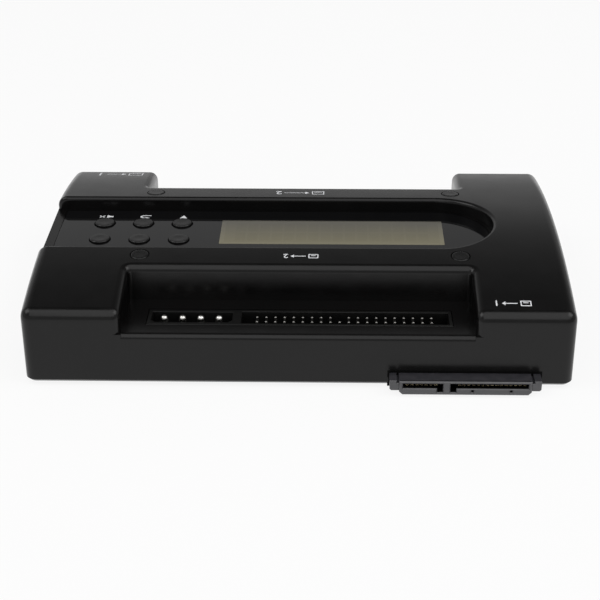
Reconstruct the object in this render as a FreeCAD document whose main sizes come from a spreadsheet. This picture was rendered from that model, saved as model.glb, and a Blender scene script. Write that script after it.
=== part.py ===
import FreeCAD, Part
import math
import os
import re
import Sketcher

# Drive duplicator: a moulded case with a crowned top, a ledge with drive connectors along each long side, and a
# recessed panel with a display and six keys. Millimetres. The origin is the middle of the case on the plane that
# it stands on, +Y runs from the source side to the destination side, and +Z is up.

SIZES = {
    # case, over the outside at its foot
    "case_width": 150.8,
    "case_depth": 97.6,
    "case_height": 27.0,
    "case_draft": 0.7,
    "case_wall": 2.0,
    "crown_radius": 219.5,
    "crown_end_round": 3.5,
    "side_round": 3.0,
    "bottom_bevel": 0.9,
    # ledge that carries the flat cable header on each long side
    "ledge_height": 15.1,
    "ledge_length": 96.2,
    "ledge_back": 28.3,
    "ledge_draft": 4.5,
    "ledge_lip_round": 1.7,
    "ledge_corner_round": 0.9,
    "tower_round": 2.4,
    # channel across the crown that holds the panel
    "panel_height": 22.2,
    "channel_width": 33.0,
    "channel_end": 40.0,
    "channel_edge_round": 1.1,
    "panel_left": 72.6,
    "panel_thickness": 0.8,
    "panel_clearance": 0.1,
    "panel_strip": 0.5,
    "panel_floor": 1.6,
    # case screws under their plugs, and the posts that they hold together
    "screw_across": 91.0,
    "screw_along": 42.8,
    "plug_diameter": 5.1,
    "plug_groove": 0.25,
    "screw_head": 5.0,
    "screw_head_height": 2.0,
    "screw_seat": 19.0,
    "screw_shank": 2.8,
    "screw_hole": 3.4,
    "post_width": 7.4,
    "screw_clearance": 0.1,
    "screw_floor": 0.6,
    # sides of every post, bore and screw inside the case
    "post_sides": 8,
    # posts and screws that hang the display and the key board under the panel
    "small_post": 4.6,
    "small_shank": 2.0,
    "small_head": 3.8,
    "small_head_height": 1.2,
    "small_length": 5.0,
    # base
    "base_thickness": 1.8,
    "base_clearance": 0.2,
    "foot_diameter": 9.0,
    "foot_proud": 1.0,
    "foot_inset": 12.5,
    # display
    "display_centre": 9.0,
    "display_length": 66.4,
    "display_width": 18.0,
    "display_rest": 0.9,
    "module_length": 80.0,
    "module_width": 34.0,
    "module_board": 1.6,
    "module_screw_inset": 2.5,
    "bezel_length": 71.2,
    "bezel_width": 25.0,
    "bezel_height": 4.8,
    "bezel_wall": 0.5,
    "glass_thickness": 1.6,
    "module_gap": 0.1,
    # keys
    "key_diameter": 5.9,
    "key_clearance": 0.25,
    "key_proud": 0.6,
    "key_bevel": 0.4,
    "key_first": 59.6,
    "key_pitch": 11.7,
    "key_far_row": 6.8,
    "key_near_row": 4.2,
    "key_travel": 0.5,
    "key_flange": 8.4,
    "key_flange_thickness": 0.8,
    "key_board_length": 33.0,
    "key_board_width": 31.0,
    "switch_size": 6.0,
    "switch_height": 2.4,
    "switch_floor": 0.5,
    "plunger_width": 3.2,
    # main board
    "board_height": 4.3,
    "board_thickness": 1.6,
    "board_clearance": 1.0,
    # flat cable and power header
    "pin_pitch": 2.54,
    "pin_width": 0.64,
    "pin_columns": 20,
    "pin_first": 11.5,
    "pin_inset": 3.22,
    "pin_rows": 2,
    "pin_missing": 9,
    "pin_tip": 0.55,
    "pin_tail": 1.8,
    "power_pitch": 5.08,
    "power_first": 37.24,
    "power_inset": 4.3,
    "power_pin": 2.1,
    "power_pins": 4,
    "power_tip": 0.1,
    "header_left": 41.8,
    "header_right": 42.4,
    "header_inset": 6.3,
    "header_width": 8.6,
    "header_floor": 2.6,
    "header_clearance": 0.15,
    "signal_left": 15.8,
    "signal_right": 41.5,
    "signal_near_wall": 0.9,
    "signal_far_wall": 1.1,
    "power_left": 40.7,
    "power_right": 18.3,
    "power_wall": 1.4,
    "power_corner": 1.3,
    # serial drive receptacle: its slots and contacts are placed from its middle
    "serial_inset": 29.8,
    "serial_length": 36.0,
    "serial_proud": 4.6,
    "serial_depth": 11.0,
    "serial_height": 3.9,
    "nose_cut": 0.9,
    "vent_width": 0.8,
    "vent_height": 1.3,
    "first_vent": 1.9,
    "second_vent": 12.1,
    "serial_notch": 41.7,
    "serial_notch_height": 4.4,
    "arm_length": 40.8,
    "arm_bottom": 1.4,
    "arm_set_back": 1.0,
    "slot_bottom": 1.97,
    "slot_top": 3.2,
    "slot_depth": 6.0,
    "slot_key_bottom": 0.8,
    "signal_slot_start": 17.0,
    "signal_slot_end": 6.1,
    "power_slot_start": 4.1,
    "power_slot_end": 17.1,
    "slot_key_width": 1.6,
    "contact_pitch": 1.27,
    "contact_width": 0.8,
    "contact_thickness": 0.25,
    "contact_first_signal": 15.7,
    "contact_first_power": 1.6,
    "contact_set_back": 0.5,
    "signal_contacts": 7,
    "power_contacts": 15,
    # power jack in the end wall
    "jack_place": 20.0,
    "jack_width": 9.0,
    "jack_height": 11.0,
    "jack_length": 14.2,
    "jack_axis": 6.5,
    "jack_bore": 6.3,
    "jack_bore_depth": 9.5,
    "jack_nose": 8.4,
    "jack_pin": 2.0,
    "jack_clearance": 0.2,
    # what stands on the main board
    "controller_size": 20.0,
    "chip_thickness": 1.6,
    "memory_place": 26.0,
    "memory_spacing": 16.0,
    "memory_length": 18.4,
    "memory_width": 10.2,
    "flash_place": 22.0,
    "flash_row": 8.0,
    "flash_length": 8.0,
    "flash_width": 5.3,
    "crystal_length": 11.0,
    "crystal_width": 4.6,
    "crystal_height": 3.5,
    "capacitor_inset": 38.4,
    "capacitor_pitch": 8.5,
    "capacitor_diameter": 6.3,
    "capacitor_height": 7.0,
    "capacitor_count": 2,
    "coil_inset": 24.4,
    "coil_pitch": 11.5,
    "coil_size": 9.0,
    "coil_height": 4.0,
    "coil_count": 2,
    "regulator_inset": 9.4,
    "regulator_size": 6.5,
    "regulator_height": 2.3,
    "buzzer_inset": 13.4,
    "buzzer_row": 34.0,
    "buzzer_diameter": 12.0,
    "buzzer_height": 6.5,
    "display_link_length": 40.6,
    "key_link_length": 20.3,
    "link_width": 2.5,
}

doc = FreeCAD.newDocument("drive_duplicator")
sheet = doc.addObject("Spreadsheet::Sheet", "sizes")
for row, (alias, size) in enumerate(SIZES.items(), 1):
    sheet.set(f"A{row}", alias)
    sheet.set(f"B{row}", str(size))
    sheet.setAlias(f"B{row}", alias)
doc.recompute()

nodes = []


# Sizes and places are formulas of the sheet's sizes, such as "case_width / 2".
def bound(formula):
    return re.sub(r"[a-z_]+", lambda word: "sizes." + word[0] if word[0] in SIZES else word[0], formula)


def number(formula):
    return float(sheet.evalExpression(formula))


def new_body(label):
    body = doc.addObject("PartDesign::Body", label)
    body.Label = label
    nodes.append(body)
    return body


def new_feature(body, kind):
    return body.newObject(kind, body.Label + "_" + kind.split("::")[1].lower())


def new_sketch(body, role, lift="0"):
    sketch = new_feature(body, "Sketcher::SketchObject")
    plane = next(feature for feature in body.Origin.OriginFeatures if feature.Role == role)
    sketch.AttachmentSupport = (plane, [""])
    sketch.MapMode = "FlatFace"
    sketch.setExpression("AttachmentOffset.Base.z", bound(lift))
    return sketch


def hold(sketch, kind, *where_and_size):
    *where, size = where_and_size
    index = sketch.addConstraint(Sketcher.Constraint(kind, *where, number(size)))
    sketch.setExpression(f"Constraints[{index}]", bound(size))


def hold_point(sketch, geometry, point, x, y):
    hold(sketch, "DistanceX", -1, 1, geometry, point, x)
    hold(sketch, "DistanceY", -1, 1, geometry, point, y)


def draw_path(sketch, points):
    return [sketch.addGeometry(Part.LineSegment(start, end)) for start, end in zip(points, points[1:])]


def join_ends(sketch, *pieces):
    for piece, after in zip(pieces, pieces[1:] + pieces[:1]):
        sketch.addConstraint(Sketcher.Constraint("Coincident", piece, 2, after, 1))


def draw_outline(sketch, *corners):
    points = [FreeCAD.Vector(number(x), number(y), 0) for x, y in corners]
    lines = draw_path(sketch, points + points[:1])
    join_ends(sketch, *lines)
    for line, (x, y) in zip(lines, corners):
        hold_point(sketch, line, 1, x, y)


def draw_box(sketch, left, right, near, far):
    draw_outline(sketch, (left, near), (right, near), (right, far), (left, far))


def draw_square(sketch, x, y, width):
    draw_box(sketch, *around(x, width), *around(y, width))


def draw_circle(sketch, x, y, diameter):
    centre = FreeCAD.Vector(number(x), number(y), 0)
    circle = sketch.addGeometry(Part.Circle(centre, FreeCAD.Vector(0, 0, 1), number(diameter) / 2))
    hold_point(sketch, circle, 3, x, y)
    hold(sketch, "Diameter", circle, diameter)


def draw_polygon(sketch, x, y, across):
    half = f"({across}) / 2"
    reach = f"{half} / cos(180 / post_sides)"
    turn = "360 / post_sides"
    draw_outline(sketch, *[(f"{x} + {reach} * cos({turn} * {step})", f"{y} + {reach} * sin({turn} * {step})")
                           for step in range(int(number("post_sides")))])


def draw_arc(sketch, x, y, radius, start, end):
    centre = FreeCAD.Vector(number(x), number(y), 0)
    circle = Part.Circle(centre, FreeCAD.Vector(0, 0, 1), number(radius))
    arc = sketch.addGeometry(Part.ArcOfCircle(circle, math.radians(start), math.radians(end)))
    hold_point(sketch, arc, 3, x, y)
    hold(sketch, "Radius", arc, radius)
    return arc


# The case across its depth: leaning front and back under the crown's arc.
def draw_case_profile(sketch):
    half = number(half_depth_at(crown_end))
    lean = math.degrees(math.asin(half / number("crown_radius")))
    arc = draw_arc(sketch, "0", crown_middle, "crown_radius", straight_up - lean, straight_up + lean)
    far, near = sketch.getPoint(arc, 1), sketch.getPoint(arc, 2)
    foot = [FreeCAD.Vector(side * number("case_depth / 2"), number(case_bottom), 0) for side in (-1, 1)]
    front, floor, back = draw_path(sketch, [near, *foot, far])
    join_ends(sketch, arc, front, floor, back)
    hold_point(sketch, floor, 1, "-case_depth / 2", case_bottom)
    hold_point(sketch, floor, 2, "case_depth / 2", case_bottom)
    hold(sketch, "DistanceX", -1, 1, arc, 1, half_depth_at(crown_end))
    hold(sketch, "DistanceX", -1, 1, arc, 2, f"-{half_depth_at(crown_end)}")


# What a ledge takes out of the case: everything in front of a leaning back wall, down to a flat floor.
def draw_ledge_profile(sketch, side):
    top = f"({crown_top} + case_wall)"
    wall_top = f"(ledge_back - tan(ledge_draft) * ({top} - {ledge_top}))"
    open_side = "(case_depth / 2 + case_wall)"
    corners = [("ledge_back", ledge_top), (open_side, ledge_top), (open_side, top), (wall_top, top)]
    draw_outline(sketch, *[(f"{side} * {y}", z) for y, z in corners])


# What the rounding takes off a ledge's front lip.
def draw_lip_profile(sketch, side):
    face = half_depth_at("(ledge_height - ledge_lip_round)")
    middle = (f"{side} * ({face} - ledge_lip_round)", f"({ledge_top} - ledge_lip_round)")
    start = 0 if side > 0 else straight_up
    arc = draw_arc(sketch, *middle, "ledge_lip_round", start, start + straight_up)
    outside = f"{side} * ({face} + case_wall)"
    above = f"({ledge_top} + case_wall)"
    corners = [(f"{side} * {face}", middle[1]), (outside, middle[1]), (outside, above), (middle[0], above),
               (middle[0], ledge_top)]
    if side > 0:
        corners.reverse()
    points = [FreeCAD.Vector(number(y), number(z), 0) for y, z in corners]
    lines = draw_path(sketch, points)
    join_ends(sketch, arc, *lines)
    for line, (y, z) in list(zip(lines, corners))[1:]:
        hold_point(sketch, line, 1, y, z)
    upper, outer = (2, 1) if side > 0 else (1, 2)
    hold(sketch, "DistanceX", -1, 1, arc, upper, middle[0])
    hold(sketch, "DistanceY", -1, 1, arc, outer, middle[1])


# Everything above the crown, which trims what reaches up to it.
def draw_above_crown(sketch):
    reach = "(case_depth / 2 + case_wall)"
    lean = math.degrees(math.asin(number(reach) / number("crown_radius")))
    arc = draw_arc(sketch, "0", crown_middle, "crown_radius", straight_up - lean, straight_up + lean)
    far, near = sketch.getPoint(arc, 1), sketch.getPoint(arc, 2)
    up = FreeCAD.Vector(0, number("case_height"), 0)
    rise, across, fall = draw_path(sketch, [near, near + up, far + up, far])
    join_ends(sketch, arc, rise, across, fall)
    hold(sketch, "DistanceX", -1, 1, arc, 1, reach)
    hold(sketch, "DistanceX", -1, 1, arc, 2, f"-{reach}")
    hold(sketch, "DistanceY", rise, 1, rise, 2, "case_height")
    sketch.addConstraint(Sketcher.Constraint("Vertical", rise))
    sketch.addConstraint(Sketcher.Constraint("Horizontal", across))
    sketch.addConstraint(Sketcher.Constraint("Vertical", fall))


# A long shape with a square left end and a round right end.
def draw_channel(sketch, left, centre, half_width):
    arc = draw_arc(sketch, centre, "0", half_width, -straight_up, straight_up)
    near, far = sketch.getPoint(arc, 1), sketch.getPoint(arc, 2)
    corners = [FreeCAD.Vector(number(left), y, 0) for y in (far.y, near.y)]
    back, end, front = draw_path(sketch, [far, *corners, near])
    join_ends(sketch, arc, back, end, front)
    hold_point(sketch, end, 1, left, half_width)
    hold_point(sketch, end, 2, left, f"-({half_width})")
    hold(sketch, "DistanceX", -1, 1, arc, 1, centre)
    hold(sketch, "DistanceX", -1, 1, arc, 2, centre)


def extrude(sketch, kind, length, taper="0", up=True, both_ways=False):
    body = sketch.getParentGeoFeatureGroup()
    feature = new_feature(body, kind)
    feature.Profile = sketch
    feature.setExpression("Length", bound(length))
    feature.setExpression("TaperAngle", bound(taper))
    feature.Midplane = both_ways
    feature.Reversed = up if kind == "PartDesign::Pocket" else not up
    doc.recompute()
    return feature


def pad(sketch, length, **ways):
    return extrude(sketch, "PartDesign::Pad", length, **ways)


def cut(sketch, length, **ways):
    return extrude(sketch, "PartDesign::Pocket", length, **ways)


# Blocks, hollows, posts and holes stand on a level and run up from it.
def add_block(body, box, level, height, **ways):
    sketch = new_sketch(body, "XY_Plane", level)
    draw_box(sketch, *box)
    return pad(sketch, height, **ways)


def cut_block(body, boxes, level, height, **ways):
    sketch = new_sketch(body, "XY_Plane", level)
    for box in boxes:
        draw_box(sketch, *box)
    return cut(sketch, height, **ways)


def add_posts(body, places, diameter, level, height, draw=draw_circle):
    sketch = new_sketch(body, "XY_Plane", level)
    for x, y in places:
        draw(sketch, x, y, diameter)
    return pad(sketch, height)


def cut_holes(body, places, diameter, level, height, draw=draw_circle):
    sketch = new_sketch(body, "XY_Plane", level)
    for x, y in places:
        draw(sketch, x, y, diameter)
    return cut(sketch, height)


def axis_of(body, role):
    return next(feature for feature in body.Origin.OriginFeatures if feature.Role == role), [""]


def repeat(body, originals, axis, pitch, count, second_axis=None, second_count="1"):
    pattern = new_feature(body, "PartDesign::LinearPattern")
    pattern.Originals = originals
    pattern.Direction = axis_of(body, axis)
    pattern.Mode = "Spacing"
    pattern.setExpression("Offset", bound(pitch))
    pattern.setExpression("Occurrences", bound(count))
    if second_axis:
        pattern.Direction2 = axis_of(body, second_axis)
        pattern.Mode2 = "Spacing"
        pattern.setExpression("Offset2", bound(pitch))
        pattern.setExpression("Occurrences2", bound(second_count))
        doc.recompute()
        # a spacing of -1 stands for the common offset
        pattern.Spacings2 = [-1.0] * (pattern.Occurrences2 - 1)
    body.Tip = pattern
    doc.recompute()
    return pattern


def finish_edges(body, kind, size_name, size, wanted):
    base = body.Tip
    names = [f"Edge{i}" for i, edge in enumerate(base.Shape.Edges, 1) if wanted(edge.BoundBox)]
    feature = new_feature(body, kind)
    feature.Base = (base, names)
    feature.setExpression(size_name, bound(size))
    doc.recompute()


def round_edges(body, radius, wanted):
    finish_edges(body, "PartDesign::Fillet", "Radius", radius, wanted)


def bevel_edges(body, size, wanted):
    finish_edges(body, "PartDesign::Chamfer", "Size", size, wanted)


def around(middle, width):
    return f"{middle} - ({width}) / 2", f"{middle} + ({width}) / 2"


# Half the case's depth at a height over its foot.
def half_depth_at(height):
    return f"(case_depth / 2 - tan(case_draft) * {height})"


def corners_of(x, y):
    return [(f"{i} * ({x})", f"{j} * ({y})") for i in (-1, 1) for j in (-1, 1)]


# The far side's pieces are the near side's, turned half round about the case's middle.
def turn_half_round(body):
    body.Placement = FreeCAD.Placement(FreeCAD.Vector(), FreeCAD.Rotation(FreeCAD.Vector(0, 0, 1), 180))


case_bottom = "foot_proud"
ledge_top = "(foot_proud + ledge_height)"
panel_top = "(foot_proud + panel_height)"
panel_bottom = f"({panel_top} - panel_thickness)"
floor_under = f"({panel_bottom} - panel_floor)"
crown_top = "(foot_proud + case_height)"
crown_middle = f"({crown_top} - crown_radius)"
crown_end = "(case_height - case_depth ^ 2 / 8 / crown_radius)"
straight_up = 90
board_bottom = "(foot_proud + board_height)"
board_top = f"({board_bottom} + board_thickness)"
module_top = f"({floor_under} - module_gap - bezel_height)"
screw_places = corners_of("screw_across / 2", "screw_along / 2")
key_places = [(f"-key_first + {column} * key_pitch", row)
              for row in ("key_far_row", "-key_near_row") for column in range(3)]
module_screws = [(f"display_centre + {i} * (module_length / 2 - module_screw_inset)",
                  f"{j} * (module_width / 2 - module_screw_inset)") for i in (-1, 1) for j in (-1, 1)]
key_middle = "((key_far_row - key_near_row) / 2)"
key_board_screws = [("-key_first + key_pitch", f"{key_middle} + {j} * (key_board_width / 2 - module_screw_inset)")
                    for j in (-1, 1)]
key_field = (*around("-key_first + key_pitch", "2 * key_pitch + key_flange + 2 * key_clearance"),
             *around(key_middle, "key_far_row + key_near_row + key_flange + 2 * key_clearance"))
header_near = "(case_depth / 2 - header_inset)"
header_far = f"({header_near} - header_width)"
header_box = ("-header_left", "header_right", f"-{header_near}", f"-{header_far}")
header_bay = ("-header_left - header_clearance", "header_right + header_clearance",
              f"-{header_near} - header_clearance", f"-{header_far} + header_clearance")
display_hole = (*around("display_centre", "display_length - 2 * display_rest"),
                *around("0", "display_width - 2 * display_rest"))
serial_centre = "(case_width / 2 - serial_inset)"
serial_front = "(case_depth / 2 + serial_proud)"
serial_notch = (*around(serial_centre, "serial_notch"), "-case_depth / 2 - case_wall",
                f"-{serial_front} + serial_depth + base_clearance")
foot_places = corners_of("case_width / 2 - foot_inset", "case_depth / 2 - foot_inset")
jack_level = f"({board_top} + jack_axis)"


def turned_box(box):
    left, right, near, far = box
    return f"-({right})", f"-({left})", f"-({far})", f"-({near})"


def make_cover():
    cover = new_body("top_cover")
    half_width, half_depth = number("case_width / 2"), number("case_depth / 2")
    low, ledge = number(case_bottom), number(ledge_top)
    half_ledge, back = number("ledge_length / 2"), number("ledge_back")
    # leaning block under the crown, with its upper and upright edges rounded
    profile = new_sketch(cover, "YZ_Plane")
    draw_case_profile(profile)
    pad(profile, "case_width", both_ways=True)
    round_edges(cover, "crown_end_round", lambda box: box.XLength > half_width and box.ZMin > ledge)
    round_edges(cover, "side_round",
                lambda box: abs(abs(box.Center.x) - half_width) < 0.1 and box.ZMax > ledge)
    # ledges
    ledges = new_sketch(cover, "YZ_Plane")
    for side in (-1, 1):
        draw_ledge_profile(ledges, side)
    cut(ledges, "ledge_length", both_ways=True)
    round_edges(cover, "ledge_corner_round",
                lambda box: box.ZMin < ledge + 0.1 and box.ZLength > 5
                and abs(abs(box.Center.x) - half_ledge) < 0.1 and abs(abs(box.Center.y) - back) < 1)
    round_edges(cover, "tower_round",
                lambda box: box.ZMax > ledge + 1 and abs(box.Center.x) < half_ledge + 0.1
                and (box.ZMin > ledge + 1 or half_depth - abs(box.Center.y) < 1)
                and (abs(abs(box.Center.x) - half_ledge) < 3 and abs(box.Center.y) > back - 3
                     or abs(abs(box.Center.y) - back) < 1.2))
    lips = new_sketch(cover, "YZ_Plane")
    for side in (-1, 1):
        draw_lip_profile(lips, side)
    cut(lips, "ledge_length", both_ways=True)
    # channel and the panel's seat in it
    channel = new_sketch(cover, "XY_Plane", panel_top)
    draw_channel(channel, "-case_width", "channel_end", "channel_width / 2")
    cut(channel, "case_height")
    wall = number("channel_width / 2")
    round_edges(cover, "channel_edge_round",
                lambda box: box.ZMin > number(panel_top) - 0.1 and box.ZMax > number(panel_top) + 0.5
                and max(-box.YMin, box.YMax) < wall + 0.1)
    seat = new_sketch(cover, "XY_Plane", panel_bottom)
    draw_channel(seat, "-panel_left", "channel_end", "channel_width / 2 - panel_strip")
    cut(seat, "case_height")
    bevel_edges(cover, "bottom_bevel", lambda box: abs(box.Center.z - low) < 0.1)
    # hollow inside
    inner = (*around("0", "case_width - 2 * case_wall"), *around("0", "case_depth - 2 * case_wall"))
    cut_block(cover, [inner], case_bottom, "ledge_height - case_wall", taper="-case_draft")
    under_ledge = f"({ledge_top} - case_wall)"
    lean = "tan(case_draft) * ledge_height"
    tower = "(ledge_length / 2 + case_wall)"
    inner_width = f"2 * (case_width / 2 - case_wall - {lean})"
    inner_depth = f"2 * (case_depth / 2 - case_wall - {lean})"
    towers = [(around("0", inner_width)[0], f"-{tower}", *around("0", inner_depth)),
              (tower, around("0", inner_width)[1], *around("0", inner_depth))]
    spine = (f"-{tower} - case_wall", f"{tower} + case_wall", *around("0", "2 * (ledge_back - case_wall)"))
    cut_block(cover, towers, under_ledge, f"{floor_under} - {under_ledge}", taper="-case_draft")
    cut_block(cover, [spine], under_ledge, f"{floor_under} - {under_ledge}")
    # posts for the case screws, the display and the key board
    post_top = f"({floor_under} + panel_floor / 2)"
    hung = module_screws + key_board_screws
    add_posts(cover, screw_places, "post_width", board_top, f"{post_top} - {board_top}", draw_polygon)
    add_posts(cover, hung, "small_post", module_top, f"{post_top} - {module_top}", draw_polygon)
    cut_holes(cover, screw_places, "screw_hole", case_bottom, "case_height", draw_polygon)
    cut_holes(cover, screw_places, "plug_diameter + 2 * plug_groove", "foot_proud + screw_seat", "case_height")
    cut_holes(cover, hung, "small_shank + 2 * screw_clearance", module_top, f"{floor_under} - {module_top}",
              draw_polygon)
    # openings for the keys, the display, the headers, the receptacles and the jack
    cut_block(cover, [key_field, display_hole], floor_under, "panel_floor * 2")
    cut_block(cover, [header_bay, turned_box(header_bay)], under_ledge, "case_wall * 2")
    cut_block(cover, [serial_notch, turned_box(serial_notch)], "0", "foot_proud + serial_notch_height")
    jack = new_sketch(cover, "YZ_Plane", "case_width / 2 - case_wall * 2")
    draw_circle(jack, "jack_place", jack_level, "jack_nose + 2 * jack_clearance")
    cut(jack, "case_wall * 3")


def make_base():
    base = new_body("base_plate")
    inside = "2 * (case_wall + base_clearance)"
    add_block(base, (*around("0", f"case_width - {inside}"), *around("0", f"case_depth - {inside}")),
              case_bottom, "base_thickness")
    add_posts(base, screw_places, "post_width", f"{case_bottom} + base_thickness",
              "board_height - base_thickness", draw_polygon)
    cut_holes(base, screw_places, "screw_shank + 2 * screw_clearance", "foot_proud + screw_floor",
              "board_height", draw_polygon)
    cut_block(base, [serial_notch, turned_box(serial_notch)], "0", "foot_proud + board_height")


def make_feet():
    feet = new_body("rubber_feet")
    add_posts(feet, foot_places, "foot_diameter", "0", "foot_proud")


def make_case_screws():
    screws = new_body("case_screws")
    seat = "(foot_proud + screw_seat)"
    add_posts(screws, screw_places, "screw_head", seat, "screw_head_height", draw_polygon)
    screw_end = "(foot_proud + screw_floor + screw_clearance)"
    add_posts(screws, screw_places, "screw_shank", screw_end, f"{seat} - {screw_end}", draw_polygon)
    plugs = new_body("screw_plugs")
    plug_bottom = f"({seat} + screw_head_height)"
    add_posts(plugs, screw_places, "plug_diameter", plug_bottom, f"{crown_top} - {plug_bottom}")
    crown = new_sketch(plugs, "YZ_Plane")
    draw_above_crown(crown)
    cut(crown, "case_width * 2", both_ways=True)


def make_panel():
    panel = new_body("panel_overlay")
    outline = new_sketch(panel, "XY_Plane", panel_bottom)
    draw_channel(outline, "-panel_left + panel_clearance", "channel_end",
                 "channel_width / 2 - panel_strip - panel_clearance")
    pad(outline, "panel_thickness")
    cut_holes(panel, key_places, "key_diameter + 2 * key_clearance", panel_bottom, "panel_thickness")
    window_hole = (*around("display_centre", "display_length"), *around("0", "display_width"))
    cut_block(panel, [window_hole], panel_bottom, "panel_thickness")
    window = new_body("display_window")
    add_block(window, (*around("display_centre", "display_length - panel_clearance"),
                       *around("0", "display_width - panel_clearance")), panel_bottom, "panel_thickness")


def make_display():
    board = new_body("display_board")
    board_under = f"({module_top} - module_board)"
    add_block(board, (*around("display_centre", "module_length"), *around("0", "module_width")),
              board_under, "module_board")
    cut_holes(board, module_screws, "small_shank + 2 * screw_clearance", board_under, "module_board",
              draw_polygon)
    bezel = new_body("display_bezel")
    add_block(bezel, (*around("display_centre", "bezel_length"), *around("0", "bezel_width")),
              module_top, "bezel_height")
    inside = (*around("display_centre", "bezel_length - 2 * bezel_wall"), *around("0", "bezel_width - 2 * bezel_wall"))
    cut_block(bezel, [inside], module_top, "bezel_height - bezel_wall")
    cut_block(bezel, [display_hole], module_top, "bezel_height")
    within = (*around("display_centre", "bezel_length - 2 * bezel_wall - 2 * module_gap"),
              *around("0", "bezel_width - 2 * bezel_wall - 2 * module_gap"))
    guide_height = "(bezel_height - bezel_wall - glass_thickness - module_gap)"
    guide = new_body("light_guide")
    add_block(guide, within, module_top, guide_height)
    glass = new_body("display_glass")
    add_block(glass, within, f"{module_top} + {guide_height}", "glass_thickness")


def make_key_board():
    board = new_body("key_board")
    board_under = f"({module_top} - module_board)"
    add_block(board, (*around("-key_first + key_pitch", "key_board_length"), *around(key_middle, "key_board_width")),
              board_under, "module_board")
    cut_holes(board, key_board_screws, "small_shank + 2 * screw_clearance", board_under, "module_board",
              draw_polygon)
    switches = new_body("key_switches")
    add_posts(switches, key_places, "switch_size", module_top, "switch_height", draw_square)
    cut_holes(switches, key_places, "plunger_width + 2 * key_clearance", f"{module_top} + switch_floor",
              "switch_height", draw_square)


def make_keys():
    flange_top = f"({panel_bottom} - module_gap)"
    flange_bottom = f"({flange_top} - key_flange_thickness)"
    plunger_bottom = f"({module_top} + switch_floor + key_travel + module_gap)"
    for count, place in enumerate(key_places, 1):
        key = new_body(f"key_{count}")
        add_posts(key, [place], "key_flange", flange_bottom, "key_flange_thickness", draw_square)
        add_posts(key, [place], "key_diameter", flange_top, f"{panel_top} + key_proud - {flange_top}")
        bevel_edges(key, "key_bevel", lambda box: box.ZMin > number(panel_top) + 0.1)
        plunger = new_body(f"key_plunger_{count}")
        add_posts(plunger, [place], "plunger_width", plunger_bottom, f"{flange_bottom} - {plunger_bottom}",
                  draw_square)


def make_small_screws():
    screws = new_body("board_screws")
    hung = module_screws + key_board_screws
    head_top = f"({module_top} - module_board)"
    add_posts(screws, hung, "small_head", f"{head_top} - small_head_height", "small_head_height", draw_polygon)
    add_posts(screws, hung, "small_shank", head_top, "small_length", draw_polygon)


def make_main_board():
    board = new_body("main_board")
    inside = "2 * (case_wall + board_clearance)"
    add_block(board, (*around("0", f"case_width - {inside}"), *around("0", f"case_depth - {inside}")),
              board_bottom, "board_thickness")
    cut_holes(board, screw_places, "screw_hole", board_bottom, "board_thickness", draw_polygon)


def make_header(side, turned):
    header = new_body(f"{side}_header")
    floor = f"({board_top} + header_floor)"
    add_block(header, header_box, board_top, f"{ledge_top} - {board_top}")
    sketch = new_sketch(header, "XY_Plane", floor)
    draw_box(sketch, "-signal_left", "signal_right", f"-{header_near} + signal_near_wall",
             f"-{header_far} - signal_far_wall")
    near, far = f"(-{header_near} + power_wall)", f"(-{header_far} - power_wall)"
    draw_outline(sketch, ("-power_left + power_corner", near), ("-power_right - power_corner", near),
                 ("-power_right", f"{near} + power_corner"), ("-power_right", far), ("-power_left", far),
                 ("-power_left", f"{near} + power_corner"))
    cut(sketch, "ledge_height")
    signal = new_body(f"{side}_signal_pins")
    tail = f"({board_bottom} - pin_tail)"
    pin_length = f"({ledge_top} - pin_tip - {tail})"
    near_row = f"(-{header_near} + pin_inset)"
    first = add_block(signal, (*around("-pin_first", "pin_width"), *around(near_row, "pin_width")), tail, pin_length)
    repeat(signal, [first], "X_Axis", "pin_pitch", "pin_columns", "Y_Axis", "pin_rows")
    missing = (*around("-pin_first + pin_missing * pin_pitch", "pin_pitch"),
               *around(f"{near_row} + pin_pitch", "pin_pitch"))
    cut_block(signal, [missing], tail, pin_length)
    power = new_body(f"{side}_power_pins")
    post = add_posts(power, [("-power_first", f"-{header_near} + power_inset")], "power_pin", tail,
                     f"{ledge_top} - power_tip - {tail}")
    repeat(power, [post], "X_Axis", "power_pitch", "power_pins")
    for body in (header, signal, power):
        if turned:
            turn_half_round(body)


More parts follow.
